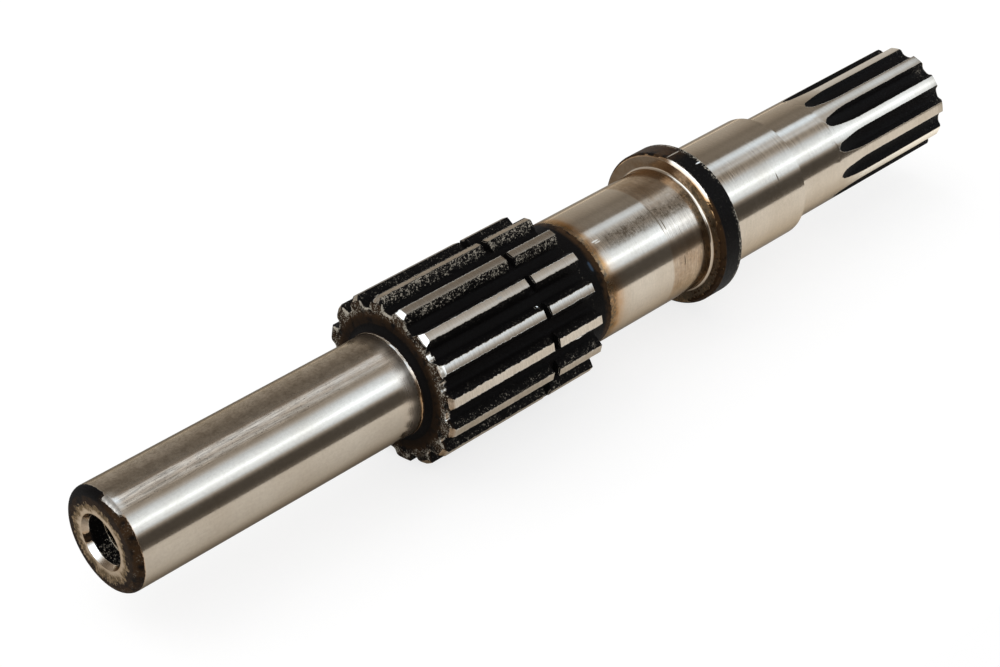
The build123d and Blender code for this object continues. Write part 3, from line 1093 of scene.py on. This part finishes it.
# The mirrored table gets lighter towards the splined end, and more so away from its front
LIGHTER_ALONG = (-0.06, 0.10)
LIGHTER_BACK = (-0.09, -0.04)
LEAST_GAIN = 0.2
MORE_GAIN = 0.15


def mirrored_table(nodes):
    """How light the table is where the steel mirrors it."""
    position = nodes.add("ShaderNodeNewGeometry").outputs["Position"]
    place = nodes.add("ShaderNodeSeparateXYZ", {"Vector": position})
    x, y = place.outputs["X"], place.outputs["Y"]
    shadow = nodes.math("SUBTRACT", nodes.step(y, *SHADOW_FRONT), nodes.step(y, *SHADOW_BACK))
    shadow = nodes.math("MULTIPLY", shadow, nodes.step(x, *SHADOW_NEAR))
    gain = nodes.line(nodes.step(y, *LIGHTER_BACK), MORE_GAIN, LEAST_GAIN)
    level = nodes.line(nodes.step(x, *LIGHTER_ALONG), gain, 1.0)
    return nodes.math("MULTIPLY", level, nodes.line(shadow, SHADOW_DARKENS, 1.0))


def table_white():
    material = bpy.data.materials.new("white_table")
    material.use_nodes = True
    nodes = Nodes(material.node_tree)
    path = nodes.add("ShaderNodeLightPath")
    to_steel = path.outputs["Is Glossy Ray"]
    level = mirrored_table(nodes)
    for_camera = nodes.math("MULTIPLY", path.outputs["Is Camera Ray"], GLOW_SEEN)
    for_steel = nodes.math("MULTIPLY", to_steel, nodes.math("MULTIPLY", level, GLOW_MIRRORED))
    strength = nodes.math("ADD", for_camera, for_steel)
    glow = nodes.add("ShaderNodeEmission", {"Color": WHITE, "Strength": strength})
    mirrored = nodes.blend(1.0, TABLE_MIRRORED, level, "MULTIPLY")
    colour = nodes.blend(to_steel, TABLE_PAINT, mirrored)
    paint = nodes.add("ShaderNodeBsdfDiffuse", {"Color": colour})
    both = nodes.add("ShaderNodeAddShader")
    nodes.feed(both.inputs[0], glow.outputs[0])
    nodes.feed(both.inputs[1], paint.outputs[0])
    nodes.add("ShaderNodeOutputMaterial", {"Surface": both.outputs[0]})
    return material


def lay_table():
    corners = [
        (-TABLE_REACH, TABLE_FRONT, 0), (TABLE_REACH, TABLE_FRONT, 0),
        (TABLE_REACH, TABLE_BACK, 0), (-TABLE_REACH, TABLE_BACK, 0),
    ]
    mesh = bpy.data.meshes.new("table")
    mesh.from_pydata(corners, [], [(0, 1, 2, 3)])
    table = bpy.data.objects.new("table", mesh)
    bpy.context.collection.objects.link(table)
    mesh.materials.append(table_white())


# The photograph's viewpoint and directions in metres, and its lens in mm
CAMERA_PLACE = (-0.4721, -0.4539, 0.4660)
CAMERA_LOOKING = (0.5758, 0.5856, -0.5706)
CAMERA_RIGHT = (0.7131, -0.7011, 0)
CAMERA_LENS = 85.1
CAMERA_SENSOR = 36
CAMERA_NEAREST = 0.01


def aim_camera():
    looking = Vector(CAMERA_LOOKING).normalized()
    right = Vector(CAMERA_RIGHT).normalized()
    up = right.cross(looking)
    turned = Matrix((right, up, -looking)).transposed().to_4x4()
    camera = bpy.data.cameras.new("camera")
    camera.lens = CAMERA_LENS
    camera.sensor_width = CAMERA_SENSOR
    camera.clip_start = CAMERA_NEAREST
    view = bpy.data.objects.new("camera", camera)
    view.matrix_world = Matrix.Translation(CAMERA_PLACE) @ turned
    bpy.context.collection.objects.link(view)
    bpy.context.scene.camera = view


lay_bore_and_end()
lay_front_journal()
lay_drum_front()
lay_drum()
lay_middle()
lay_collar()
lay_rear_journal()
lay_tail()
lay_tail_end()
skin = build_skin()
paint_skin(skin)
skin.materials.append(steel())
shaft = bpy.data.objects.new("clutch_shaft_steel", skin)
bpy.context.collection.objects.link(shaft)
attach(shaft, "root")
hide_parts("clutch_shaft")

light_studio()
add_shadow_lamp()
lay_table()
aim_camera()
bpy.context.scene.view_settings.view_transform = "Standard"
